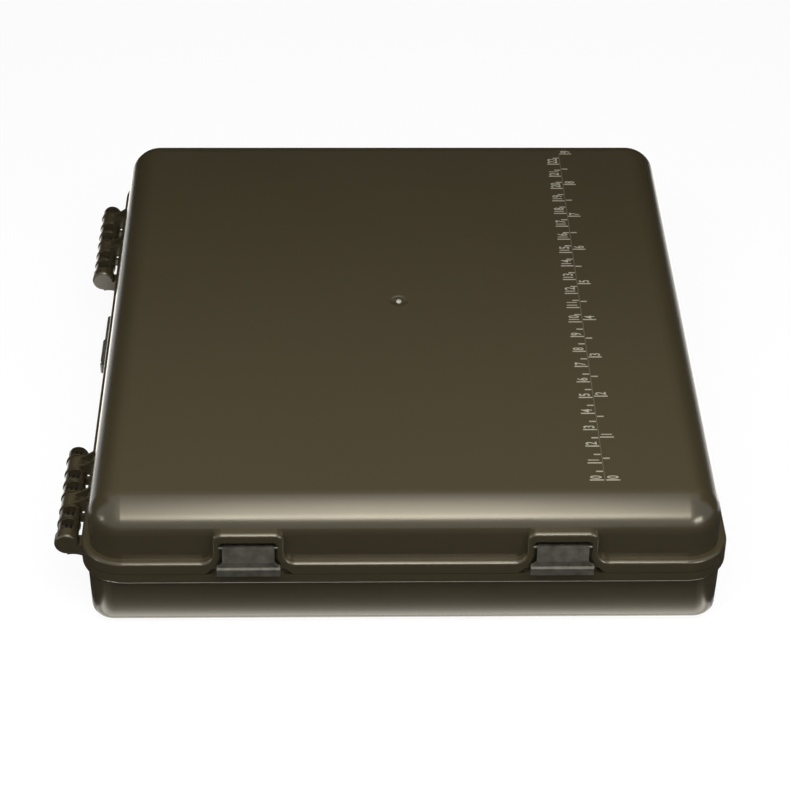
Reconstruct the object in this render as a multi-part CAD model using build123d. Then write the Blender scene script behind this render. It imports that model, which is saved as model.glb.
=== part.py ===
from build123d import *
import math
import os

os.makedirs("parts", exist_ok=True)

# Rig box: a shallow moulded case with a hinged lid, two front latches and foam strips inside.
# Frame: the origin is the centre of the base underside, +Z is up, the latches face -Y,
# and the hinges are on the left side, -X. All sizes are in millimetres and degrees.

# Overall size, measured over the two rims
rim_width = 238.0
rim_depth = 266.0
rim_corner_radius = 16.0
base_height = 26.2
lid_height = 27.3
parting_gap = 0.2

# Shells
wall = 2.0
floor_thickness = 2.2
lid_rim_overhang = 2.9
base_rim_overhang = 2.4
base_corner_radius = 9.0
shell_draft = 1.0
lid_edge_radius = 12.0
base_edge_radius = 4.5
lid_rim_height = 5.1
lid_rim_rounding = 1.3
base_rim_height = 4.3
base_rim_rounding = 0.8

# Small lengths used when solids are joined and edges are picked
cut_overrun = 1.0
edge_tolerance = 0.01

# Locating tongue that stands up from the base inside the lid wall
tongue_height = 2.2
tongue_thickness = 1.4
tongue_root = 4.0
tongue_clearance = 0.4

# Moulding gate mark near the middle of the lid
gate_dimple_diameter = 8.0
gate_dimple_depth = 0.6
gate_nub_diameter = 1.8
gate_nub_height = 0.45
gate_nub_root = 0.2
gate_centre_y = 2.3

# Hinges on the left side, each a barrel of equal segments that ends in a closed boss
hinge_standoff = 5.8
hinge_barrel_diameter = 8.0
hinge_end_length = 7.0
hinge_segment_length = 7.3
hinge_boss_length = 4.2
hinge_boss_diameter = 9.2
hinge_boss_rounding = 1.0
hinge_far_rounding = 2.2
hinge_ring_width = 0.9
hinge_ring_proud = 0.4
hinge_side_clearance = 0.3
rear_hinge_inset = 21.8
front_hinge_inset = 16.8
hinge_pin_diameter = 3.0
hinge_pin_end_recess = 0.5
hinge_pin_end_clearance = 0.1
pin_press_clearance = 0.02
pin_running_clearance = 0.08
pocket_length = 5.0
pocket_width = 4.6
pocket_floor_height = 0.6
base_web_thickness = 1.8
base_web_drop = 3.2
boss_web_foot = 8.4
boss_web_bend_out = 6.2
boss_web_bend_down = 0.85
lid_rib_thickness = 1.3
lid_rib_height = 10.5
lid_rib_bend_out = 5.5
lid_rib_bend_up = 1.95
lid_web_top = 2.6
web_clearance = 0.15

# Arches of the lid rim over the latches, seen from the front
latch_spacing = 114.0
arch_half_width = 13.0
arch_height = 18.6
arch_corner_radius = 3.4
arch_flare_radius = 4.4
arch_band = 3.0
opening_height = 14.1
opening_corner_radius = 1.2
opening_side_height = 7.6
opening_waist_half_width = 12.1
opening_waist_height = 3.3
opening_foot_half_width = 15.4
opening_step_width = 0.7
opening_step_depth = 1.0

# Latch: a clip that hangs from two moulded trunnions inside the arch
latch_side_clearance = 0.55
latch_pivot_height = 11.4
latch_pivot_setback = 1.5
latch_barrel_radius = 1.3
latch_trunnion_diameter = 1.5
latch_trunnion_reach = 1.6
trunnion_running_clearance = 0.06
trunnion_end_clearance = 0.3
latch_plate_thickness = 1.5
latch_plate_proud = 1.55
latch_shoulder_height = 6.8
latch_lip_proud = 2.5
latch_lip_top = 4.5
latch_bottom_gap = 1.1
latch_waist_half_width = 11.5
latch_side_bend_out = 0.8
latch_side_bend_down = 2.5
latch_crown_height = 1.2
latch_crown_reach = 1.9
latch_lip_chamfer = 0.4
latch_inner_drop = 0.45
latch_cut_depth = 12.0

# Catch tab that stands up from the base rim behind each latch
catch_half_width = 7.5
catch_height = 3.2
catch_thickness = 1.3
catch_barb = 0.35
catch_barb_height = 1.2
catch_root = 0.5
catch_clearance = 0.25

# Clip on the left rim, between the hinges
side_clip_centre_y = 13.6
side_clip_length = 34.6
side_clip_block_length = 16.5
side_clip_height = 4.2
side_clip_proud = 1.8
side_clip_near_proud = 2.4
side_clip_chamfer = 0.6
side_clip_groove_depth = 0.5
side_clip_groove_width = 1.1

# Foam strips on the base floor, with slits for hooks
foam_wall_gap = 1.0
foam_strip_width = 28.0
foam_strip_height = 11.0
foam_corner_radius = 3.0
foam_slit_count = 19
foam_slit_width = 0.8
foam_slit_depth = 4.0
foam_slit_pitch = 10.0

# Foam sheet under the lid
lid_foam_thickness = 4.0
lid_foam_margin = 3.0
lid_foam_corner_radius = 6.0

# Rig pins in the rear foam strip
rig_pin_count = 10
rig_pin_pitch = 20.0
rig_pin_diameter = 1.2
rig_pin_length = 15.0
rig_pin_depth = 7.5
rig_pin_head_diameter = 4.4
rig_pin_head_height = 2.0
rig_pin_head_rounding = 0.8
rig_pin_clearance = 0.03

# Derived places
lid_foot_z = base_height + parting_gap
lid_corner_radius = rim_corner_radius - lid_rim_overhang
lid_top_z = lid_foot_z + lid_height
hinge_axis_x = -(rim_width / 2 + hinge_standoff)
hinge_axis_z = base_height + parting_gap / 2
hinge_radius = hinge_barrel_diameter / 2
hinge_length = hinge_end_length + 6 * hinge_segment_length + hinge_boss_length
rim_front_y = -rim_depth / 2
latch_places = {
    "latch_left": -latch_spacing / 2,
    "latch_right": latch_spacing / 2,
}
hinge_places = {
    "hinge_pin_rear": rim_depth / 2 - rear_hinge_inset,
    "hinge_pin_front": hinge_length + front_hinge_inset - rim_depth / 2,
}
floor_inset = base_rim_overhang + base_edge_radius + foam_wall_gap
foam_strip_length = rim_width - 2 * floor_inset
foam_strip_travel = rim_depth / 2 - floor_inset - foam_strip_width / 2
foam_places = {
    "foam_strip_front": -foam_strip_travel,
    "foam_strip_middle": 0.0,
    "foam_strip_rear": foam_strip_travel,
}


def rounded_block(width, depth, corner, height, draft, edge_radius):
    """A block on z = 0 with rounded plan corners, drafted sides and a rounded top edge."""
    block = extrude(RectangleRounded(width, depth, corner), amount=height, taper=draft)
    top_edges = block.faces().sort_by(Axis.Z)[-1].edges()
    return fillet(top_edges, edge_radius)


def tub_outer(overhang, corner, height, edge_radius):
    """The outer form of a shell, upside down: open face at z = 0, closed face at the top."""
    width = rim_width - 2 * overhang
    depth = rim_depth - 2 * overhang
    return rounded_block(width, depth, corner, height, shell_draft, edge_radius)


def tub_inner(overhang, corner, height, edge_radius):
    """The hollow of a shell, one wall inside its outer form."""
    width = rim_width - 2 * (overhang + wall)
    depth = rim_depth - 2 * (overhang + wall)
    inner_height = height - floor_thickness
    return rounded_block(
        width, depth, corner - wall, inner_height, shell_draft, edge_radius - wall
    )


def rim_band(height, rounding):
    """The flat band around a shell at the parting face, upside down for the base."""
    return rounded_block(rim_width, rim_depth, rim_corner_radius, height, 0, rounding)


def front_profile(outline, thickness, front_y):
    """A face drawn in x and z, given thickness from front_y towards the back."""
    plane = Plane(origin=(0, front_y, 0), x_dir=(1, 0, 0), z_dir=(0, -1, 0))
    return extrude(plane * outline, amount=-thickness)


def arch_outline():
    """The outside of the rim where it climbs over a latch, with flared feet."""
    foot_half_width = arch_half_width + arch_flare_radius + arch_band
    points = [
        (-foot_half_width, 0),
        (foot_half_width, 0),
        (foot_half_width, lid_rim_height),
        (arch_half_width, lid_rim_height),
        (arch_half_width, arch_height),
        (-arch_half_width, arch_height),
        (-arch_half_width, lid_rim_height),
        (-foot_half_width, lid_rim_height),
    ]
    face = make_face(Polyline(*points, close=True))
    corners = [v for v in face.vertices() if abs(v.X) < arch_half_width + edge_tolerance]
    flares = [v for v in corners if v.Y < arch_height - edge_tolerance]
    face = fillet(flares, arch_flare_radius)
    tops = [v for v in face.vertices() if v.Y > arch_height - edge_tolerance]
    return fillet(tops, arch_corner_radius)


def opening_outline(margin):
    """The opening inside an arch: straight at the top and spread at its foot."""
    side = arch_half_width - arch_band + margin
    top = opening_height + margin
    waist = (opening_waist_half_width + margin, opening_waist_height)
    foot = (opening_foot_half_width + margin, 0)
    sides = []
    for sign in (-1, 1):
        shoulder_point = (sign * side, opening_side_height)
        sides.append(
            ThreePointArc(shoulder_point, (sign * waist[0], waist[1]), (sign * foot[0], foot[1]))
        )
        sides.append(Line(shoulder_point, (sign * side, top)))
    lid_line = Line((-side, top), (side, top))
    foot_line = Line((-foot[0], 0), (foot[0], 0))
    face = make_face(Curve() + sides + [lid_line, foot_line])
    tops = [v for v in face.vertices() if v.Y > top - edge_tolerance]
    return fillet(tops, opening_corner_radius)


def rim_arch():
    """One arch of the lid rim, standing on z = 0 at x = 0, with its front edge rounded."""
    depth = lid_rim_overhang + wall
    arch = front_profile(arch_outline(), depth, rim_front_y)
    front_edges = arch.edges().filter_by_position(
        Axis.Y, rim_front_y - edge_tolerance, rim_front_y + edge_tolerance
    )
    end_x = arch_half_width + arch_flare_radius + arch_band
    outer_edges = []
    for edge in front_edges:
        middle = edge.position_at(0.5)
        at_foot = middle.Z < edge_tolerance
        at_end = abs(abs(middle.X) - end_x) < edge_tolerance
        if not at_foot and not at_end:
            outer_edges.append(edge)
    return fillet(outer_edges, lid_rim_rounding)


def latch_cuts():
    """What an arch loses: the opening, its stepped front edge and the two trunnion holes."""
    recess = front_profile(opening_outline(0), lid_rim_overhang, rim_front_y)
    step = front_profile(opening_outline(opening_step_width), opening_step_depth, rim_front_y)
    side = arch_half_width - arch_band
    hole_radius = latch_trunnion_diameter / 2 + trunnion_running_clearance
    hole_reach = latch_trunnion_reach - latch_side_clearance + trunnion_end_clearance
    hole_length = 2 * (side + hole_reach)
    hole_place = Pos(0, rim_front_y + latch_pivot_setback, latch_pivot_height)
    hole = hole_place * Rot(0, 90, 0) * Cylinder(hole_radius, hole_length)
    return recess + step + hole


def barrel(radius, far_y, near_y):
    """A cylinder about the hinge axis, from far_y towards the front to near_y."""
    centre = Pos(hinge_axis_x, (far_y + near_y) / 2, hinge_axis_z)
    return centre * Rot(90, 0, 0) * Cylinder(radius, far_y - near_y)


def side_profile(points, near_y, thickness):
    """A polygon drawn in x and z beside the hinge axis, given thickness towards the back."""
    plane = Plane(
        origin=(hinge_axis_x, near_y, hinge_axis_z), x_dir=(1, 0, 0), z_dir=(0, -1, 0)
    )
    return extrude(plane * make_face(Polyline(*points, close=True)), amount=-thickness)


def segment_y(far_end, index):
    """The y of the boundary after a number of segments, counted from the far end."""
    return far_end - hinge_end_length - index * hinge_segment_length


def lid_knuckle(far_end, index):
    """A lid knuckle on one segment, with a web and two curved ribs up to the lid wall."""
    far_y = segment_y(far_end, index) - hinge_side_clearance
    near_y = segment_y(far_end, index + 1) + hinge_side_clearance
    knuckle = barrel(hinge_radius, far_y, near_y)
    wall_x = hinge_standoff + lid_rim_overhang + wall / 2
    web = side_profile(
        [(0, web_clearance), (hinge_standoff + wall, web_clearance),
         (hinge_standoff + wall, lid_web_top), (0, lid_web_top)],
        near_y, far_y - near_y,
    )
    rib_plane = Plane(
        origin=(hinge_axis_x, near_y, hinge_axis_z), x_dir=(1, 0, 0), z_dir=(0, -1, 0)
    )
    crest = (0, hinge_radius)
    wall_top = (wall_x, lid_rib_height)
    sag_point = (lid_rib_bend_out, hinge_radius + lid_rib_bend_up)
    edge_curve = ThreePointArc(crest, sag_point, wall_top)
    rest = Polyline(wall_top, (wall_x, web_clearance), (0, web_clearance), crest)
    rib = extrude(rib_plane * make_face(Curve() + [edge_curve, rest]), amount=-lid_rib_thickness)
    far_rib = Pos(0, far_y - near_y - lid_rib_thickness, 0) * rib
    return knuckle + web + rib + far_rib


def base_web(near_y, thickness):
    """A web below the parting face, from the barrel to the base rim."""
    reach = hinge_standoff + base_rim_overhang + wall / 2
    return side_profile(
        [(0, -web_clearance), (reach, -web_clearance), (reach, -base_web_drop),
         (0, -base_web_drop)],
        near_y, thickness,
    )


def boss_web(near_y):
    """The thick web of the boss, with a concave lower outline down to the base wall."""
    plane = Plane(
        origin=(hinge_axis_x, near_y, hinge_axis_z), x_dir=(1, 0, 0), z_dir=(0, -1, 0)
    )
    radius = hinge_boss_diameter / 2
    reach = hinge_standoff + base_rim_overhang + wall / 2
    foot = (reach, -boss_web_foot)
    start = (0, -radius)
    sag_point = (boss_web_bend_out, -radius - boss_web_bend_down)
    lower = ThreePointArc(start, sag_point, foot)
    rest = Polyline(foot, (reach, -web_clearance), (0, -web_clearance), start)
    outline = make_face(Curve() + [lower, rest])
    return extrude(plane * outline, amount=-hinge_boss_length)


def base_knuckles(far_end):
    """The three base knuckles of a hinge: far end, middle pair, and near pair with the boss."""
    groups = []
    end_near = segment_y(far_end, 0)
    far_knuckle = barrel(hinge_radius, far_end, end_near)
    far_rim = far_knuckle.edges().filter_by(GeomType.CIRCLE).sort_by(Axis.Y)[-1]
    groups.append(fillet(far_rim, hinge_far_rounding))
    groups.append(base_web(far_end - hinge_far_rounding - base_web_thickness, base_web_thickness))
    groups.append(base_web(end_near, base_web_thickness))
    for first in (1, 4):
        far_y = segment_y(far_end, first)
        near_y = segment_y(far_end, first + 2)
        groups.append(barrel(hinge_radius, far_y, near_y))
        groups.append(base_web(far_y - base_web_thickness, base_web_thickness))
        groups.append(base_web(near_y, base_web_thickness))
        for index in (first, first + 1, first + 2):
            groups.append(hinge_ring(far_end, index, far_y, near_y))
    groups.append(hinge_ring(far_end, 0, far_end, end_near))
    boss_near = far_end - hinge_length
    boss_far = boss_near + hinge_boss_length
    boss = barrel(hinge_boss_diameter / 2, boss_far, boss_near)
    boss_edge = boss.edges().filter_by(GeomType.CIRCLE).sort_by(Axis.Y)[0]
    groups.append(fillet(boss_edge, hinge_boss_rounding))
    groups.append(boss_web(boss_near))
    body = groups[0]
    for piece in groups[1:]:
        body = body + piece
    for far_y in [far_end] + [segment_y(far_end, index) for index in (1, 2, 4, 5)]:
        body = body - top_pocket(far_y)
    return body


def hinge_ring(far_end, index, far_limit, near_limit):
    """A proud ring at a segment boundary, kept within its own knuckle."""
    centre_y = segment_y(far_end, index)
    ring_far = min(centre_y + hinge_ring_width / 2, far_limit)
    ring_near = max(centre_y - hinge_ring_width / 2, near_limit)
    return barrel(hinge_radius + hinge_ring_proud, ring_far, ring_near)


def top_pocket(far_y):
    """The cored pocket in the top of a base segment that starts at far_y."""
    height = hinge_radius + hinge_ring_proud - pocket_floor_height
    centre_y = far_y - hinge_segment_length / 2
    centre_z = hinge_axis_z + pocket_floor_height + (height + cut_overrun) / 2
    pocket = Box(pocket_width, pocket_length, height + cut_overrun)
    return Pos(hinge_axis_x, centre_y, centre_z) * pocket


def hinge_bore(far_end, clearance):
    """The blind bore for a hinge pin, open at the far end."""
    radius = hinge_pin_diameter / 2 + clearance
    near_y = far_end - hinge_length + hinge_boss_length / 2
    return barrel(radius, far_end + cut_overrun, near_y)


def make_lid():
    """The lid shell: rim with two arches, lid knuckles and the gate mark."""
    lid = tub_outer(lid_rim_overhang, lid_corner_radius, lid_height, lid_edge_radius)
    lid = lid + rim_band(lid_rim_height, lid_rim_rounding)
    for x in latch_places.values():
        lid = lid + Pos(x, 0, 0) * rim_arch()
    lid = Pos(0, 0, lid_foot_z) * lid
    for far_end in hinge_places.values():
        for index in (0, 3):
            lid = lid + lid_knuckle(far_end, index)
    hollow = tub_inner(lid_rim_overhang, lid_corner_radius, lid_height, lid_edge_radius)
    lid = lid - Pos(0, 0, lid_foot_z) * hollow
    for x in latch_places.values():
        lid = lid - Pos(x, 0, lid_foot_z) * latch_cuts()
    for far_end in hinge_places.values():
        lid = lid - hinge_bore(far_end, pin_running_clearance)
    dimple_radius = gate_dimple_diameter / 2
    bowl_radius = (dimple_radius ** 2 + gate_dimple_depth ** 2) / (2 * gate_dimple_depth)
    bowl_z = lid_top_z - gate_dimple_depth + bowl_radius
    bowl = Pos(0, gate_centre_y, bowl_z) * Sphere(bowl_radius)
    nub_length = gate_nub_height + gate_nub_root
    nub_top = lid_top_z - gate_dimple_depth + gate_nub_height
    nub = Cylinder(gate_nub_diameter / 2, nub_length)
    return lid - bowl + Pos(0, gate_centre_y, nub_top - nub_length / 2) * nub


def rim_plan(inset, corner):
    """The plan of the rim, drawn in by an inset, with its own corner radius."""
    return RectangleRounded(rim_width - 2 * inset, rim_depth - 2 * inset, corner)


def catch_tab():
    """The tab behind a latch, rising from the base rim, with a small barb at its top."""
    latch_inner_y = rim_front_y - latch_plate_proud + latch_plate_thickness
    front_y = latch_inner_y + catch_clearance
    stem_height = catch_height + catch_root
    stem_place = Pos(
        0, front_y + catch_barb + catch_thickness / 2, base_height + catch_height - stem_height / 2
    )
    stem = stem_place * Box(2 * catch_half_width, catch_thickness, stem_height)
    barb_place = Pos(0, front_y + catch_barb / 2, base_height + catch_height - catch_barb_height / 2)
    barb = barb_place * Box(2 * catch_half_width, catch_barb, catch_barb_height)
    return stem + barb


def make_base():
    """The base shell: rim, tongue, base knuckles and catch tabs."""
    base = tub_outer(base_rim_overhang, base_corner_radius, base_height, base_edge_radius)
    base = base + rim_band(base_rim_height, base_rim_rounding)
    hollow = tub_inner(base_rim_overhang, base_corner_radius, base_height, base_edge_radius)
    base = Pos(0, 0, base_height) * Rot(180, 0, 0) * (base - hollow)
    tongue_outer = lid_rim_overhang + wall + tongue_clearance
    tongue_inner = tongue_outer + tongue_thickness
    root_inset = base_rim_overhang + wall / 2
    inner_plan = rim_plan(tongue_inner, rim_corner_radius - tongue_inner)
    outer_plan = rim_plan(tongue_outer, rim_corner_radius - tongue_outer)
    root_plan = rim_plan(root_inset, base_corner_radius - wall / 2)
    root = Pos(0, 0, base_height - tongue_root) * extrude(
        root_plan - inner_plan, amount=tongue_root
    )
    tongue = Pos(0, 0, base_height) * extrude(outer_plan - inner_plan, amount=tongue_height)
    base = base + root + tongue
    for far_end in hinge_places.values():
        base = base + (base_knuckles(far_end) - hinge_bore(far_end, pin_press_clearance))
    for x in latch_places.values():
        base = base + Pos(x, 0, 0) * catch_tab()
    return base


def make_hinge_pin(far_end):
    """A steel pin in its blind bore."""
    near_y = far_end - hinge_length + hinge_boss_length / 2
    far_y = far_end - hinge_pin_end_recess
    return barrel(hinge_pin_diameter / 2, far_y, near_y + hinge_pin_end_clearance)


def latch_outline():
    """The front view of a latch, from its rounded top down to its wide lower edge."""
    top_half = arch_half_width - arch_band - latch_side_clearance
    top = latch_pivot_height + latch_barrel_radius
    shoulder = opening_side_height
    sides = []
    for sign in (-1, 1):
        sides.append(Line((sign * top_half, top), (sign * top_half, shoulder)))
        sides.append(
            ThreePointArc(
                (sign * top_half, shoulder),
                (sign * (top_half + latch_side_bend_out), shoulder - latch_side_bend_down),
                (sign * latch_waist_half_width, latch_lip_top),
            )
        )
        sides.append(
            Line(
                (sign * latch_waist_half_width, latch_lip_top),
                (sign * latch_waist_half_width, latch_bottom_gap),
            )
        )
    top_line = Line((-top_half, top), (top_half, top))
    foot_line = Line(
        (-latch_waist_half_width, latch_bottom_gap), (latch_waist_half_width, latch_bottom_gap)
    )
    return make_face(Curve() + sides + [top_line, foot_line])


def latch_section():
    """The side view of a latch plate: a barrel on the pivot, a sloped shoulder and a lip."""
    pivot_y = rim_front_y + latch_pivot_setback
    outer_y = rim_front_y - latch_plate_proud
    inner_y = outer_y + latch_plate_thickness
    lip_y = rim_front_y - latch_lip_proud
    points = [
        (pivot_y, latch_pivot_height + latch_barrel_radius),
        (pivot_y - latch_crown_reach, latch_pivot_height + latch_crown_height),
        (outer_y, latch_shoulder_height),
        (outer_y, latch_lip_top),
        (lip_y, latch_lip_top - latch_lip_chamfer),
        (lip_y, latch_bottom_gap),
        (inner_y, latch_bottom_gap),
        (inner_y, latch_shoulder_height - latch_inner_drop),
        (pivot_y, latch_pivot_height - latch_barrel_radius),
    ]
    return points


def make_latch():
    """A latch at x = 0 and z = 0 of the parting line: a bent plate with trunnions and a lip."""
    points = latch_section()
    plane = Plane(origin=(-latch_waist_half_width, 0, 0), x_dir=(0, 1, 0), z_dir=(1, 0, 0))
    plate = extrude(
        plane * make_face(Polyline(*points, close=True)), amount=2 * latch_waist_half_width
    )
    top_half = arch_half_width - arch_band - latch_side_clearance
    pivot = Pos(0, rim_front_y + latch_pivot_setback, latch_pivot_height) * Rot(0, 90, 0)
    plate = plate + pivot * Cylinder(latch_barrel_radius, 2 * top_half)
    cutter = front_profile(latch_outline(), latch_cut_depth, rim_front_y - latch_cut_depth / 2)
    latch = plate & cutter
    trunnions = pivot * Cylinder(
        latch_trunnion_diameter / 2, 2 * (top_half + latch_trunnion_reach)
    )
    return latch + trunnions


def make_side_clip():
    """The small clip on the left rim: a plain block, then a wedge that stands further out."""
    rim_x = -rim_width / 2
    block_x = rim_x - side_clip_proud
    wedge_x = rim_x - side_clip_near_proud
    foot_z = base_height - (base_rim_height + side_clip_height) / 2
    far_end = side_clip_centre_y + side_clip_length / 2
    near_end = side_clip_centre_y - side_clip_length / 2
    step_y = far_end - side_clip_block_length
    outline = make_face(
        Polyline(
            (rim_x, far_end),
            (block_x + side_clip_chamfer, far_end),
            (block_x, far_end - side_clip_chamfer),
            (block_x, step_y),
            (wedge_x, step_y - side_clip_groove_width),
            (wedge_x, near_end + side_clip_chamfer),
            (wedge_x + side_clip_chamfer, near_end),
            (rim_x, near_end),
            close=True,
        )
    )
    clip = Pos(0, 0, foot_z) * extrude(outline, amount=side_clip_height)
    wedge_length = step_y - near_end
    slant = math.degrees(math.atan2(side_clip_height, wedge_length))
    groove_length = wedge_length - 2 * side_clip_groove_width
    groove_place = Pos(wedge_x, (step_y + near_end) / 2, foot_z + side_clip_height / 2)
    groove_tool = Box(2 * side_clip_groove_depth, groove_length, side_clip_groove_width)
    return clip - groove_place * Rot(-slant, 0, 0) * groove_tool


def make_foam_strip(y):
    """A foam strip on the base floor with slits across its top for hooks."""
    block = extrude(
        RectangleRounded(foam_strip_length, foam_strip_width, foam_corner_radius),
        amount=foam_strip_height,
    )
    slit_z = foam_strip_height - foam_slit_depth / 2
    for index in range(foam_slit_count):
        x = (index - (foam_slit_count - 1) / 2) * foam_slit_pitch
        block = block - Pos(x, 0, slit_z) * Box(foam_slit_width, foam_strip_width, foam_slit_depth)
    return Pos(0, y, floor_thickness) * block


def rig_pin_places():
    """The x of each rig pin, in the plain foam between the slits."""
    first = -(rig_pin_count - 1) / 2 * rig_pin_pitch
    return [first + index * rig_pin_pitch for index in range(rig_pin_count)]


def make_rig_pins(y):
    """The row of pins in the rear foam strip, each with a domed head."""
    foot_z = floor_thickness + foam_strip_height - rig_pin_depth
    pins = []
    for x in rig_pin_places():
        shank = Pos(0, 0, rig_pin_length / 2) * Cylinder(rig_pin_diameter / 2, rig_pin_length)
        head = Pos(0, 0, rig_pin_length) * Cylinder(rig_pin_head_diameter / 2, rig_pin_head_height)
        edges = head.edges().filter_by(GeomType.CIRCLE)
        head = fillet(edges, rig_pin_head_rounding)
        pins.append(Pos(x, y, foot_z) * (shank + head))
    return Compound(children=pins)


def drill_pin_holes(strip, y):
    """The holes that the rig pins make in the rear foam strip."""
    foot_z = floor_thickness + foam_strip_height - rig_pin_depth
    for x in rig_pin_places():
        hole = Cylinder(rig_pin_diameter / 2 + rig_pin_clearance, rig_pin_depth)
        strip = strip - Pos(x, y, foot_z + rig_pin_depth / 2) * hole
    return strip


def make_lid_foam():
    """The foam sheet bonded under the lid top, inside the rounded corners of the hollow."""
    inset = lid_rim_overhang + lid_edge_radius + lid_foam_margin
    sheet = extrude(
        RectangleRounded(rim_width - 2 * inset, rim_depth - 2 * inset, lid_foam_corner_radius),
        amount=lid_foam_thickness,
    )
    return Pos(0, 0, lid_top_z - floor_thickness - lid_foam_thickness) * sheet


def write(name, shape):
    """Write one part to its own file."""
    export_step(shape, "parts/" + name + ".step")


write("base_shell", make_base())
write("lid_shell", make_lid())
for name, far_end in hinge_places.items():
    write(name, make_hinge_pin(far_end))
for name, x in latch_places.items():
    write(name, Pos(x, 0, lid_foot_z) * make_latch())
write("side_clip", make_side_clip())
for name, y in foam_places.items():
    strip = make_foam_strip(y)
    if name == "foam_strip_rear":
        strip = drill_pin_holes(strip, y)
    write(name, strip)
write("rig_pins", make_rig_pins(foam_places["foam_strip_rear"]))
write("lid_foam", make_lid_foam())
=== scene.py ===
import math

import bmesh
import bpy
from mathutils import Matrix, Vector


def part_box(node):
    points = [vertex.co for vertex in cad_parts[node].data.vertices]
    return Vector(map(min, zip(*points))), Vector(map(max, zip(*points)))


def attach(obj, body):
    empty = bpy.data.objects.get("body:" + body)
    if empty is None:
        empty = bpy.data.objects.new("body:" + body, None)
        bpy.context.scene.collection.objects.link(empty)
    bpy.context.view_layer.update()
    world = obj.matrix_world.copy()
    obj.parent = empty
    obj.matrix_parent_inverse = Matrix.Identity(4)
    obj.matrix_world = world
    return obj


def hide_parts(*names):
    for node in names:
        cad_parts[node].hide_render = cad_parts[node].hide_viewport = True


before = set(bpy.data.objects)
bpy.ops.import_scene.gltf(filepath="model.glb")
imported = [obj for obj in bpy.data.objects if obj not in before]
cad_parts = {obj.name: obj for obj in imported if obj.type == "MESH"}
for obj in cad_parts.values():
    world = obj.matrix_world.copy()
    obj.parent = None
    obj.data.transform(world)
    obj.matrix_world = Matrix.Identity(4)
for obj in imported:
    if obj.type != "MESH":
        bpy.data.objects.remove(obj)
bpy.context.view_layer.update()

# Sizes in metres, in the frame of the CAD model: origin under the base, +Z up, latches at -Y
MM = 0.001
lid_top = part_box("lid_shell")[1][2]
base_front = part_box("base_shell")[0][1]

# Ruler on the lid: zero at the front, running back
ruler_x = 73.0 * MM
ruler_zero_y = -112.85 * MM
inch = 25.4 * MM
centimetre = 10.0 * MM
ruler_inches = 9
ruler_half_centimetres = 45
long_tick = 5.6 * MM
short_tick = 2.9 * MM
tick_width = 0.7 * MM
line_width = 0.34 * MM
mark_thickness = 0.06 * MM
mark_sink = 0.05 * MM
print_foot = lid_top - mark_sink
print_top = lid_top + mark_thickness - mark_sink
digit_size = 5.0 * MM
digit_foot_reach = 1.3 * MM
digit_top_reach = 4.9 * MM
digit_gap = 0.7 * MM
digit_weight = 0.1 * MM
digit_narrow = 0.76
digit_tall = 1.15

# Gate mark near the middle of the lid: its stub and crescent carry painted highlights
gate_place = (0.0, 2.1 * MM, 53.4 * MM)
gate_nub_size = (1.05 * MM, 1.4 * MM, 0.29 * MM)
crescent_radius = 3.1 * MM
crescent_width = 0.8 * MM
crescent_start = 0.12
crescent_steps = 24
merge_distance = 0.001 * MM

# Foam strips: soft edges, round ends and slits that stay open a little at the top
foam_foot = 0.4 * MM
foam_softness = 1.6 * MM
foam_edge_steps = 4
foam_crown = 0.5 * MM
foam_end_round = 2.4 * MM
foam_slit_count = 19
foam_slit_pitch = 10.0 * MM

# Round end of a strip: reach along the strip and drop of its top, as shares of foam_end_round
foam_end_profile = ((0.0, 1.0), (0.12, 0.55), (0.35, 0.25), (0.65, 0.07), (1.0, 0.0))

# One side of a slit, from its lip to its bottom: distance from the middle and depth
foam_slit_profile = (
    (1.2 * MM, 0.0),
    (0.7 * MM, 0.12 * MM),
    (0.42 * MM, 0.6 * MM),
    (0.25 * MM, 1.6 * MM),
    (0.1 * MM, 4.0 * MM),
)

# Foam sheet in the lid: soft edges and shallow dents
sheet_columns = 72
sheet_rows = 82
sheet_edge_round = 2.0 * MM
sheet_dimple = 14.0 * MM
sheet_dent = 0.6 * MM

# Camera: fitted to the ruler's ticks and to the lid's edges, for a 790 by 790 pixel frame
image_size = 790
camera_focal_pixels = 2369.5
camera_place = (-22.87 * MM, -783.38 * MM, 598.0 * MM)
camera_yaw = -1.596
camera_pitch = 36.987
camera_roll = 0.814
sensor_width = 36.0

# Lamps: the key lights diffuse surfaces without gloss, and the strips and glints give the gloss
world_fill = 0.12
lamp_colour = (1.0, 0.93, 0.76)
key_place = (0.0, -0.27, 0.50)
key_target = (0.0, -0.12, 0.05)
key_size = (0.9, 0.35)
key_radiance = 2.5
strip_radiance = (17.0, 10.0, 8.2, 6.4, 4.2, 1.9, 0.8)
strip_lowest = 25.0
strip_spread = 14.0
strip_centre_x = 0.03
strip_taper = 0.025
glint_target = (0.104, -0.118, 0.045)
right_glint_place = (0.66, -0.93, 0.25)
right_glint_size = (0.42, 0.2)
right_glint_radiance = 17.0
left_glint_place = (-1.0, -0.47, 0.165)
left_glint_size = (0.14, 0.12)
left_glint_radiance = 16.0

# Each strip is two lamps: share of the radiance, width of the lowest one, and distance
strip_layers = ((0.45, 0.52, 1.0), (0.55, 0.38, 1.03))

# Floor: bounce is its grey to diffuse rays, and glow and shade are what other rays see
floor_reach = 6.0
floor_bounce = 0.35
floor_glow = 0.92
floor_shade = 0.15

# Studio cards at the back and sides, which only reflections see
studio_reach = 1.6
studio_back = 1.2
back_flag_top = 0.9
back_card_top = 2.6
side_flag_top = 2.0
card_grey = 0.02
back_card_radiance = 0.36
back_card_colour = (1.0, 0.88, 0.6)

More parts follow.
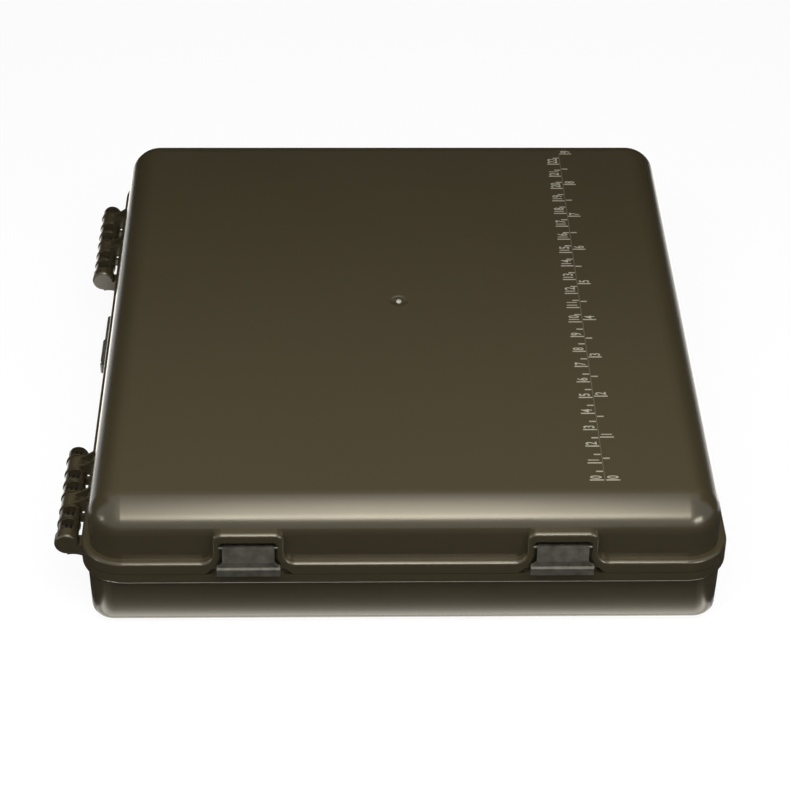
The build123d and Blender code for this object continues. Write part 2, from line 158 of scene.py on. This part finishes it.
# Cards on the floor round the box, which only reflections see
floor_glow_colour = (1.0, 0.96, 0.87)
mat_height = 0.6 * MM
mat_left = -0.26
mat_right = 0.25
mat_front = -0.6
mat_back = 0.26
corner_mat_x = 0.1205
corner_mat_back = -0.06
side_glow = 3.0
side_glow_front = -0.05
left_glow_x = (-0.16, -0.126)
right_glow_x = (0.126, 0.165)
foot_glow_half_width = 0.12

# Glowing rows in front of the box, from its foot outward
foot_glow_edges = (-0.1255, -0.1312, -0.1355, -0.1380, -0.1410, -0.1445)
foot_glow_radiance = (2.5, 6.0, 1.8, 0.5, 0.15)

# Colours and roughness, as they are written in a shader. A pair is the two ends of a ramp
case_colours = ((0.073, 0.0585, 0.0305), (0.079, 0.0635, 0.0335))
case_roughness = (0.22, 0.27)
smoked_colours = ((0.07, 0.064, 0.049), (0.165, 0.156, 0.128))
steel_colours = ((0.42, 0.42, 0.41), (0.56, 0.56, 0.55))
blackened_colours = ((0.035, 0.032, 0.028), (0.055, 0.05, 0.044))
foam_colours = ((0.012, 0.012, 0.012), (0.03, 0.03, 0.029))
mark_colour = (0.60, 0.56, 0.44)
line_colour = (0.14, 0.12, 0.08)
# Near white of the gate stub: a painted glint
painted_glint_colour = (0.88, 0.86, 0.78)
# Pale tone of the crescent: a painted highlight on the dimple's rim
crescent_highlight_colour = (0.20, 0.18, 0.13)
mark_wear = 0.75

# Stretches of a texture's value over which a ramp goes from one end to the other
wide_span = (0.1, 0.9)
narrow_span = (0.3, 0.7)
foam_span = (0.0, 0.6)


def make_object(name, data):
    """A new object in the scene, from a mesh or from other data."""
    piece = bpy.data.objects.new(name, data)
    bpy.context.scene.collection.objects.link(piece)
    return piece


def finished_mesh(name, bm, smooth=False):
    """A mesh from a bmesh, which is freed, with its faces shaded smooth where asked."""
    if smooth:
        for face in bm.faces:
            face.smooth = True
    mesh = bpy.data.meshes.new(name)
    bm.to_mesh(mesh)
    bm.free()
    return mesh


def grey(value):
    """An opaque grey."""
    return (value, value, value, 1.0)


def set_inputs(node, **inputs):
    """Set a node's inputs by their names, written with _ for a space."""
    for key, value in inputs.items():
        node.inputs[key.replace("_", " ")].default_value = value
    return node


def add_node(tree, kind, **inputs):
    """A new node with some of its inputs set."""
    return set_inputs(tree.nodes.new(kind), **inputs)


def new_material(name, **inputs):
    """A new material with its node tree and its Principled shader, some inputs set."""
    material = bpy.data.materials.new(name)
    material.use_nodes = True
    tree = material.node_tree
    shader = set_inputs(tree.nodes["Principled BSDF"], **inputs)
    return material, tree, shader


def in_object_space(tree, node):
    """Lay a texture over the object's own coordinates, so that it moves with the piece."""
    coordinates = tree.nodes.new("ShaderNodeTexCoord")
    tree.links.new(coordinates.outputs["Object"], node.inputs["Vector"])
    return node


def noise(tree, scale, detail=3.0):
    """The value of a noise texture."""
    node = add_node(tree, "ShaderNodeTexNoise", Scale=scale, Detail=detail, Roughness=0.5)
    return in_object_space(tree, node).outputs["Fac"]


def ramp(tree, factor, ends, span, target):
    """Drive an input by a ramp between two greys or colours, over a span of the factor."""
    node = tree.nodes.new("ShaderNodeValToRGB")
    for element, place, value in zip(node.color_ramp.elements, span, ends):
        colour = value if isinstance(value, tuple) else (value, value, value)
        element.position = place
        element.color = (*colour, 1.0)
    tree.links.new(factor, node.inputs["Fac"])
    tree.links.new(node.outputs["Color"], target)


def bump(tree, shader, height, strength, distance):
    """Bump from a height, joined to the shader's normal."""
    node = add_node(tree, "ShaderNodeBump", Strength=strength, Distance=distance)
    tree.links.new(height, node.inputs["Height"])
    tree.links.new(node.outputs["Normal"], shader.inputs["Normal"])


def case_plastic():
    """Satin olive-brown moulded plastic with a fine texture and faint flow marks."""
    material, tree, shader = new_material("case_plastic", IOR=1.49)
    patches = noise(tree, scale=9.0, detail=1.0)
    ramp(tree, patches, case_colours, wide_span, shader.inputs["Base Color"])
    smears = noise(tree, scale=30.0, detail=1.0)
    ramp(tree, smears, case_roughness, wide_span, shader.inputs["Roughness"])
    grain = noise(tree, scale=2600.0, detail=2.0)
    bump(tree, shader, grain, strength=0.06, distance=0.00006)
    return material


def mark_paint(name, fresh):
    """Paint for the ruler's print and for the painted highlights of the gate mark, a little worn."""
    material, tree, shader = new_material(name, Roughness=0.5)
    worn = tuple(channel * mark_wear for channel in fresh)
    ramp(tree, noise(tree, scale=900.0), (worn, fresh), narrow_span, shader.inputs["Base Color"])
    return material


def smoked_plastic():
    """Smoked grey clip plastic, slightly see-through."""
    material, tree, shader = new_material(
        "smoked_plastic", Roughness=0.36, Transmission_Weight=0.12, IOR=1.5
    )
    cloud = noise(tree, scale=260.0)
    ramp(tree, cloud, smoked_colours, narrow_span, shader.inputs["Base Color"])
    grain = noise(tree, scale=1500.0, detail=2.0)
    bump(tree, shader, grain, strength=0.05, distance=0.00005)
    return material


def metal(name, scale, colours, roughness):
    """A metal with a faint mottle of a given scale."""
    material, tree, shader = new_material(name, Metallic=1.0, Roughness=roughness)
    ramp(tree, noise(tree, scale), colours, narrow_span, shader.inputs["Base Color"])
    return material


def pin_steel():
    """Drawn steel wire of the rig pins."""
    return metal("pin_steel", scale=1200.0, colours=steel_colours, roughness=0.3)


def blackened_steel():
    """Dark oxidised steel of the hinge pins."""
    return metal("blackened_steel", scale=800.0, colours=blackened_colours, roughness=0.55)


def foam():
    """Dark closed-cell foam with fine cells."""
    material, tree, shader = new_material("foam", Roughness=0.85)
    cells = in_object_space(tree, add_node(tree, "ShaderNodeTexVoronoi", Scale=1400.0))
    distance = cells.outputs["Distance"]
    ramp(tree, distance, foam_colours, foam_span, shader.inputs["Base Color"])
    bump(tree, shader, distance, strength=0.3, distance=0.0003)
    return material


def paint(node, material):
    """Give a CAD node one material, in each slot that it has."""
    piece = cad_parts[node]
    if piece.data.materials:
        for index in range(len(piece.data.materials)):
            piece.data.materials[index] = material
    else:
        piece.data.materials.append(material)


def flat_bar(bm, x0, x1, y0, y1):
    """A thin bar of print on the lid top between two corners."""
    corners = ((x0, y0), (x1, y0), (x1, y1), (x0, y1))
    low = [bm.verts.new((x, y, print_foot)) for x, y in corners]
    high = [bm.verts.new((x, y, print_top)) for x, y in corners]
    bm.faces.new(high)
    bm.faces.new(list(reversed(low)))
    for index in range(4):
        after = (index + 1) % 4
        bm.faces.new((low[index], low[after], high[after], high[index]))


def ruler_ticks():
    """Centimetre ticks on the left of the ruler and inch ticks on its right."""
    bm = bmesh.new()
    half = tick_width / 2
    rows = ((ruler_half_centimetres, centimetre / 2, -1), (2 * ruler_inches, inch / 2, 1))
    for last, step, side in rows:
        for count in range(last + 1):
            y = ruler_zero_y + count * step
            reach = long_tick if count % 2 == 0 else short_tick
            x0, x1 = sorted((ruler_x + side * half, ruler_x + side * reach))
            flat_bar(bm, x0, x1, y - half, y + half)
    return finished_mesh("ruler_ticks", bm)


def ruler_line():
    """The ruler's thin centre line."""
    bm = bmesh.new()
    half = line_width / 2
    end_y = ruler_zero_y + ruler_inches * inch
    flat_bar(bm, ruler_x - half, ruler_x + half, ruler_zero_y, end_y)
    return finished_mesh("ruler_line", bm)


def gate_nub():
    """The small stub that the moulding gate leaves in its dimple, painted near white as a glint."""
    bm = bmesh.new()
    bmesh.ops.create_uvsphere(bm, u_segments=24, v_segments=12, radius=1.0)
    across, along, high = gate_nub_size
    bm.transform(Matrix.Translation(gate_place) @ Matrix.Diagonal((across, along, high, 1.0)))
    return finished_mesh("gate_nub", bm, smooth=True)


def gate_crescent():
    """A painted highlight: the lit rim at the back of the gate's dimple."""
    bm = bmesh.new()
    inner, outer = [], []
    for index in range(crescent_steps + 1):
        share = index / crescent_steps
        angle = math.pi * (crescent_start + share * (1.0 - 2 * crescent_start))
        half = crescent_width / 2 * math.sin(math.pi * share)
        for row, reach in ((inner, crescent_radius - half), (outer, crescent_radius + half)):
            x = gate_place[0] + reach * math.cos(angle)
            y = gate_place[1] + reach * math.sin(angle)
            row.append(bm.verts.new((x, y, print_top)))
    for index in range(crescent_steps):
        bm.faces.new((inner[index], outer[index], outer[index + 1], inner[index + 1]))
    bmesh.ops.remove_doubles(bm, verts=bm.verts, dist=merge_distance)
    return finished_mesh("gate_crescent", bm)


def add_digits(bm, label, foot_x, y):
    """A number on the lid top that reads towards the back, with its foot at foot_x."""
    curve = bpy.data.curves.new("digits", "FONT")
    curve.body = label
    curve.size = digit_size
    curve.offset = digit_weight
    curve.align_x = "LEFT"
    text = make_object("digits", curve)
    bpy.context.view_layer.update()
    depsgraph = bpy.context.evaluated_depsgraph_get()
    mesh = bpy.data.meshes.new_from_object(text.evaluated_get(depsgraph))
    bpy.data.objects.remove(text)
    stretch = Matrix.Diagonal((digit_narrow, digit_tall, 1.0, 1.0))
    turn = Matrix.Rotation(math.pi / 2, 4, "Z")
    mesh.transform(Matrix.Translation((foot_x, y, print_top)) @ turn @ stretch)
    bm.from_mesh(mesh)
    bpy.data.meshes.remove(mesh)


def ruler_digits():
    """Centimetre numbers on the left of the ruler and inch numbers on its right."""
    bm = bmesh.new()
    for count in range(ruler_half_centimetres // 2 + 1):
        y = ruler_zero_y + count * centimetre + digit_gap
        add_digits(bm, str(count), ruler_x - digit_foot_reach, y)
    for count in range(ruler_inches + 1):
        y = ruler_zero_y + count * inch + digit_gap
        add_digits(bm, str(count), ruler_x + digit_top_reach, y)
    return finished_mesh("ruler_digits", bm)


def foam_section(low, high, top):
    """The y and z of a foam strip's outline at one place. Its upper edges are soft, by no
    more than a third of the foam's height there."""
    soft = min(foam_softness, (top - low[2]) / 3)
    points = [(low[1] + foam_foot, low[2]), (low[1], low[2] + foam_foot)]
    for index in range(foam_edge_steps + 1):
        angle = math.pi / 2 * index / foam_edge_steps
        points.append((low[1] + soft * (1 - math.cos(angle)), top - soft * (1 - math.sin(angle))))
    crown = foam_crown * (top - low[2]) / (high[2] - low[2])
    middle = (low[1] + high[1]) / 2
    points.append((middle, top + crown - foam_crown))
    for index in range(foam_edge_steps + 1):
        angle = math.pi / 2 * (1 - index / foam_edge_steps)
        points.append((high[1] - soft * (1 - math.cos(angle)), top - soft * (1 - math.sin(angle))))
    points += [(high[1], low[2] + foam_foot), (high[1] - foam_foot, low[2])]
    return points


def foam_stations(low, high):
    """Places along a strip and the foam's height there: round ends and narrow slits."""
    stations = []
    middle = (low[0] + high[0]) / 2
    full = high[2]
    for reach, drop in foam_end_profile:
        stations.append((low[0] + reach * foam_end_round, full - drop * foam_end_round))
    for index in range(foam_slit_count):
        x = middle + (index - (foam_slit_count - 1) / 2) * foam_slit_pitch
        for offset, drop in foam_slit_profile:
            stations.append((x - offset, full - drop))
        for offset, drop in reversed(foam_slit_profile):
            stations.append((x + offset, full - drop))
    for reach, drop in reversed(foam_end_profile):
        stations.append((high[0] - reach * foam_end_round, full - drop * foam_end_round))
    return stations


def loft(name, rings):
    """A closed smooth mesh through rings of points, capped at both ends."""
    bm = bmesh.new()
    loops = [[bm.verts.new(point) for point in ring] for ring in rings]
    count = len(loops[0])
    for before, after in zip(loops, loops[1:]):
        for index in range(count):
            step = (index + 1) % count
            bm.faces.new((before[index], after[index], after[step], before[step]))
    bm.faces.new(loops[0])
    bm.faces.new(list(reversed(loops[-1])))
    bmesh.ops.recalc_face_normals(bm, faces=bm.faces)
    return finished_mesh(name, bm, smooth=True)


def foam_strip(node):
    """A soft foam strip with slits, in the place of a CAD strip with square edges."""
    low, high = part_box(node)
    rings = []
    for x, top in foam_stations(low, high):
        rings.append([(x, y, z) for y, z in foam_section(low, high, top)])
    return make_object(node + "_soft", loft(node + "_soft", rings))


def lid_sheet():
    """The lid's foam sheet: soft edges and shallow dents, bonded flat on its upper side."""
    low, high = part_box("lid_foam")
    bm = bmesh.new()
    grid = {}
    for i in range(sheet_columns + 1):
        for j in range(sheet_rows + 1):
            x = low[0] + (high[0] - low[0]) * i / sheet_columns
            y = low[1] + (high[1] - low[1]) * j / sheet_rows
            edge = min(x - low[0], high[0] - x, y - low[1], high[1] - y)
            inward = min(edge / sheet_edge_round, 1.0)
            rise = sheet_edge_round * (1 - inward) ** 2
            wave = math.sin(math.pi * (x - low[0]) / sheet_dimple)
            wave *= math.sin(math.pi * (y - low[1]) / sheet_dimple)
            dent = sheet_dent * (1 + wave) / 2 * inward
            grid[i, j, 0] = bm.verts.new((x, y, low[2] + rise + dent))
            grid[i, j, 1] = bm.verts.new((x, y, high[2]))
    for i in range(sheet_columns):
        for j in range(sheet_rows):
            for side in (0, 1):
                corners = ((i, j), (i + 1, j), (i + 1, j + 1), (i, j + 1))
                bm.faces.new([grid[column, row, side] for column, row in corners])
    for i in range(sheet_columns):
        for j in (0, sheet_rows):
            bm.faces.new((grid[i, j, 0], grid[i + 1, j, 0], grid[i + 1, j, 1], grid[i, j, 1]))
    for j in range(sheet_rows):
        for i in (0, sheet_columns):
            bm.faces.new((grid[i, j, 0], grid[i, j + 1, 0], grid[i, j + 1, 1], grid[i, j, 1]))
    bmesh.ops.recalc_face_normals(bm, faces=bm.faces)
    return make_object("lid_foam_soft", finished_mesh("lid_foam_soft", bm, smooth=True))


def add_camera():
    """The photograph's camera."""
    data = bpy.data.cameras.new("camera")
    data.sensor_width = sensor_width
    data.sensor_fit = "HORIZONTAL"
    data.lens = camera_focal_pixels / image_size * sensor_width
    data.clip_start = 0.01
    camera = make_object("camera", data)
    turn = (
        Matrix.Rotation(math.radians(camera_yaw), 4, "Z")
        @ Matrix.Rotation(math.radians(90.0 - camera_pitch), 4, "X")
        @ Matrix.Rotation(math.radians(camera_roll), 4, "Z")
    )
    camera.matrix_world = Matrix.Translation(camera_place) @ turn
    bpy.context.scene.camera = camera


def add_area(name, place, target, size, radiance, gloss_only=False):
    """An oblong area lamp that faces a target, set by its radiance. A lamp for gloss is warm and
    doesn't light diffuse surfaces. Any other is white and gives no gloss."""
    data = bpy.data.lights.new(name, "AREA")
    data.shape = "RECTANGLE"
    data.size = size[0]
    data.size_y = size[1]
    data.energy = radiance * math.pi * size[0] * size[1]
    data.color = lamp_colour if gloss_only else (1.0, 1.0, 1.0)
    lamp = make_object(name, data)
    direction = Vector(target) - Vector(place)
    turn = direction.to_track_quat("-Z", "Y").to_matrix().to_4x4()
    lamp.matrix_world = Matrix.Translation(place) @ turn
    lamp.visible_camera = False
    lamp.visible_diffuse = not gloss_only
    lamp.visible_glossy = gloss_only


def add_strip(name, elevation, distance, width, radiance):
    """A softbox for gloss, at an elevation in front of the lid's front edge."""
    angle = math.radians(elevation)
    target = (strip_centre_x, base_front, lid_top)
    place = (
        strip_centre_x,
        target[1] - distance * math.cos(angle),
        target[2] + distance * math.sin(angle),
    )
    height = 2 * distance * math.tan(math.radians(strip_spread / 2))
    add_area(name, place, target, (width, height), radiance, gloss_only=True)


def add_strips():
    """Strips one above the other, each of two lamps. They dim and narrow going up."""
    for index, radiance in enumerate(strip_radiance):
        elevation = strip_lowest + (index + 0.5) * strip_spread
        for part, (share, widest, distance) in enumerate(strip_layers):
            name = "strip_" + str(index) + "_" + str(part)
            add_strip(name, elevation, distance, widest - index * strip_taper, radiance * share)


def add_glints():
    """Two lamps for gloss that glint in the front corners of the lid."""
    x, y, z = glint_target
    add_area(
        "right_glint", right_glint_place, (x, y, z), right_glint_size, right_glint_radiance, True
    )
    add_area(
        "left_glint", left_glint_place, (-x, y, z), left_glint_size, left_glint_radiance, True
    )


def card(name, corners):
    """A flat four-cornered mesh of the studio."""
    bm = bmesh.new()
    bm.faces.new([bm.verts.new(corner) for corner in corners])
    return make_object(name, finished_mesh(name, bm))


def seen_rays(tree):
    """1 for camera, glossy and transmission rays, and 0 for diffuse ones."""
    path = tree.nodes.new("ShaderNodeLightPath")
    factor = path.outputs["Is Camera Ray"]
    for kind in ("Is Glossy Ray", "Is Transmission Ray"):
        either = tree.nodes.new("ShaderNodeMath")
        either.operation = "MAXIMUM"
        tree.links.new(factor, either.inputs[0])
        tree.links.new(path.outputs[kind], either.inputs[1])
        factor = either.outputs["Value"]
    return factor


def mix_by_ray(tree, diffuse_output, seen_output, target):
    """Feed a target one shader for diffuse rays, and another for the rays of seen_rays."""
    mix = tree.nodes.new("ShaderNodeMixShader")
    tree.links.new(seen_rays(tree), mix.inputs["Fac"])
    tree.links.new(diffuse_output, mix.inputs[1])
    tree.links.new(seen_output, mix.inputs[2])
    tree.links.new(mix.outputs["Shader"], target)


def add_floor():
    """A plain pale floor: near white to the camera and in reflections, with a soft shadow."""
    reach = floor_reach
    corners = ((-reach, -reach, 0.0), (reach, -reach, 0.0), (reach, reach, 0.0), (-reach, reach, 0.0))
    floor = card("floor", corners)
    material, tree, shader = new_material("floor", Base_Color=grey(floor_bounce), Roughness=0.7)
    glow = add_node(tree, "ShaderNodeEmission", Strength=floor_glow)
    shade = add_node(tree, "ShaderNodeBsdfDiffuse", Color=grey(floor_shade))
    white = tree.nodes.new("ShaderNodeAddShader")
    tree.links.new(glow.outputs["Emission"], white.inputs[0])
    tree.links.new(shade.outputs["BSDF"], white.inputs[1])
    surface = tree.nodes["Material Output"].inputs["Surface"]
    mix_by_ray(tree, shader.outputs["BSDF"], white.outputs["Shader"], surface)
    floor.data.materials.append(material)


def add_world():
    """A dim surround for diffuse rays that is plain white to the camera and in reflections."""
    world = bpy.data.worlds.new("world")
    bpy.context.scene.world = world
    world.use_nodes = True
    tree = world.node_tree
    dim = set_inputs(tree.nodes["Background"], Color=grey(1.0), Strength=world_fill)
    white = add_node(tree, "ShaderNodeBackground", Color=grey(1.0), Strength=1.0)
    surface = tree.nodes["World Output"].inputs["Surface"]
    mix_by_ray(tree, dim.outputs["Background"], white.outputs["Background"], surface)


def add_flag(name, corners, radiance=0.0, colour=lamp_colour):
    """A black or glowing studio card that only reflections see."""
    flag = card(name, corners)
    material = new_material(
        name, Base_Color=grey(card_grey), Roughness=0.9,
        Emission_Color=(*colour, 1.0), Emission_Strength=radiance,
    )[0]
    flag.data.materials.append(material)
    flag.visible_camera = False
    flag.visible_diffuse = False
    flag.visible_transmission = False
    flag.visible_shadow = False


def add_back(name, foot, top, radiance=0.0, colour=lamp_colour):
    """A card across the back of the studio, from one height to another."""
    ends = ((-studio_reach, foot), (studio_reach, foot), (studio_reach, top), (-studio_reach, top))
    add_flag(name, [(x, studio_back, z) for x, z in ends], radiance, colour)


def add_side(name, x):
    """A black card along one side of the studio, from beside the box to the back."""
    ends = ((0.0, 0.0), (studio_back, 0.0), (studio_back, side_flag_top), (0.0, side_flag_top))
    add_flag(name, [(x, y, z) for y, z in ends])


def add_mat(name, x0, x1, y0, y1, radiance=0.0):
    """A black or glowing card that lies on the floor."""
    z = mat_height
    add_flag(name, [(x0, y0, z), (x1, y0, z), (x1, y1, z), (x0, y1, z)], radiance, floor_glow_colour)


def add_cards():
    """The cards at the back and sides of the studio, then those on the floor."""
    glow_front = foot_glow_edges[-1]
    add_back("back_flag", 0.0, back_flag_top)
    add_back("back_card", back_flag_top, back_card_top, back_card_radiance, back_card_colour)
    add_side("left_flag", -studio_reach)
    add_side("right_flag", studio_reach)
    add_mat("back_mat", -studio_reach, studio_reach, mat_back, studio_back)
    add_mat("left_mat", -studio_reach, mat_left, mat_front, mat_back)
    add_mat("right_mat", mat_right, studio_reach, mat_front, mat_back)
    add_mat("front_mat", mat_left, mat_right, mat_front, glow_front)
    add_mat("left_corner_mat", mat_left, -corner_mat_x, glow_front, corner_mat_back)
    add_mat("right_corner_mat", corner_mat_x, mat_right, glow_front, corner_mat_back)
    add_mat("left_glow", *left_glow_x, side_glow_front, mat_back, side_glow)
    add_mat("right_glow", *right_glow_x, side_glow_front, mat_back, side_glow)
    for index, radiance in enumerate(foot_glow_radiance):
        y0, y1 = foot_glow_edges[index + 1], foot_glow_edges[index]
        name = "foot_glow_" + str(index)
        add_mat(name, -foot_glow_half_width, foot_glow_half_width, y0, y1, radiance)


# The CAD pieces are painted first, then the foam, the print, the painted highlights at the gate and
# the studio are made
plastic = case_plastic()
smoked = smoked_plastic()
steel = pin_steel()
dark_steel = blackened_steel()
black_foam = foam()
print_paint = mark_paint("ruler_print", mark_colour)
line_paint = mark_paint("ruler_line_print", line_colour)
# The gate mark's stub and crescent get painted highlights, not print
glint_paint = mark_paint("painted_glint", painted_glint_colour)
rim_highlight_paint = mark_paint("painted_rim_highlight", crescent_highlight_colour)
for node in ("base_shell", "lid_shell"):
    paint(node, plastic)
for node in ("latch_left", "latch_right", "side_clip"):
    paint(node, smoked)
for node in ("hinge_pin_rear", "hinge_pin_front"):
    paint(node, dark_steel)
paint("rig_pins", steel)

for node in ("foam_strip_front", "foam_strip_middle", "foam_strip_rear"):
    soft = foam_strip(node)
    soft.data.materials.append(black_foam)
    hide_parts(node)
    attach(soft, "base")
soft = lid_sheet()
soft.data.materials.append(black_foam)
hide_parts("lid_foam")
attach(soft, "lid")

for name, mesh, paint_used in (
    ("ruler_ticks", ruler_ticks(), print_paint),
    ("ruler_line", ruler_line(), line_paint),
    ("ruler_digits", ruler_digits(), print_paint),
    ("gate_nub", gate_nub(), glint_paint),
    ("gate_crescent", gate_crescent(), rim_highlight_paint),
):
    marks = make_object(name, mesh)
    marks.data.materials.append(paint_used)
    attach(marks, "lid")

add_camera()
add_floor()
add_world()
add_area("key_softbox", key_place, key_target, key_size, key_radiance)
add_strips()
add_glints()
add_cards()
bpy.context.scene.view_settings.view_transform = "Standard"
